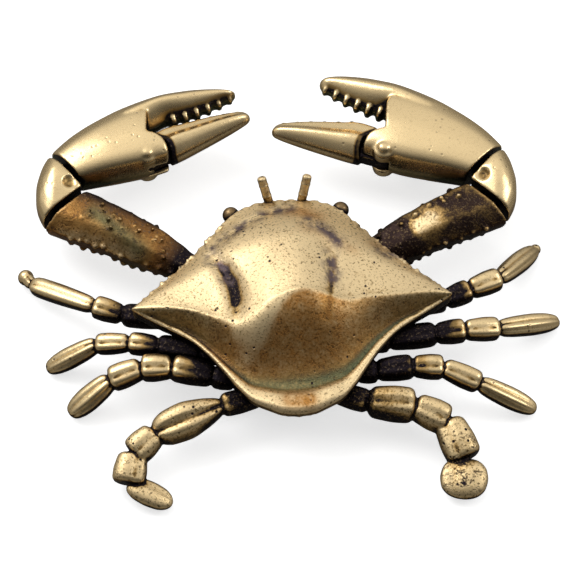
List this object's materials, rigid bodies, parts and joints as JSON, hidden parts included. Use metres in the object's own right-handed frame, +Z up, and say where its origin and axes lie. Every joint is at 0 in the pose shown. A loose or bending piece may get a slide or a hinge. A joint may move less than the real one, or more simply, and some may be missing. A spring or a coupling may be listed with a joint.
{
  "type": "crab figurine",
  "caption": "Small antiqued brass crab ornament with a toothed shell, jointed claws, walking legs and paddle legs, resting on its flat belly.",
  "frame": {"origin": "centre of the flat belly, on the surface it rests on", "axes": "+X towards the right claw, across the legs; +Y towards the front; +Z up"},
  "size_m": [0.0601, 0.0527, 0.0126],
  "materials": {
    "brass": "antiqued"
  },
  "bodies": {
    "crab_body": {"underbody": "brass", "carapace": "brass", "left_eye": "brass", "right_eye": "brass", "left_antenna": "brass", "right_antenna": "brass", "left_walking_leg_1": "brass", "left_walking_leg_2": "brass", "left_walking_leg_3": "brass", "right_walking_leg_1": "brass", "right_walking_leg_2": "brass", "right_walking_leg_3": "brass", "left_paddle_leg": "brass", "right_paddle_leg": "brass", "left_upper_arm": "brass", "right_upper_arm": "brass", "left_elbow_pin": "brass", "right_elbow_pin": "brass"},
    "left_wrist_group": {"left_wrist": "brass", "left_wrist_pin": "brass"},
    "left_hand_group": {"left_hand": "brass", "left_finger_pin": "brass"},
    "left_finger_group": {"left_finger": "brass"},
    "right_wrist_group": {"right_wrist": "brass", "right_wrist_pin": "brass"},
    "right_hand_group": {"right_hand": "brass", "right_finger_pin": "brass"},
    "right_finger_group": {"right_finger": "brass"}
  },
  "joints": [
    {"name": "left_elbow_hinge", "type": "hinge", "parent": "crab_body", "child": "left_wrist_group", "pos_m": [-0.02301, 0.01312, 0.0056], "axis": [0, 0, 1], "range_deg": [0, 5]},
    {"name": "left_wrist_hinge", "type": "hinge", "parent": "left_wrist_group", "child": "left_hand_group", "pos_m": [-0.02552, 0.01805, 0.0056], "axis": [0, 0, 1], "range_deg": [0, 6]},
    {"name": "left_finger_hinge", "type": "hinge", "parent": "left_hand_group", "child": "left_finger_group", "pos_m": [-0.01503, 0.02049, 0.0056], "axis": [0, 0, -1], "range_deg": [0, 12]},
    {"name": "right_elbow_hinge", "type": "hinge", "parent": "crab_body", "child": "right_wrist_group", "pos_m": [0.02099, 0.01162, 0.0056], "axis": [0, 0, -1], "range_deg": [0, 5]},
    {"name": "right_wrist_hinge", "type": "hinge", "parent": "right_wrist_group", "child": "right_hand_group", "pos_m": [0.024, 0.01626, 0.0056], "axis": [0, 0, -1], "range_deg": [0, 6]},
    {"name": "right_finger_hinge", "type": "hinge", "parent": "right_hand_group", "child": "right_finger_group", "pos_m": [0.01139, 0.01959, 0.0056], "axis": [0, 0, 1], "range_deg": [-11, 0]}
  ]
}
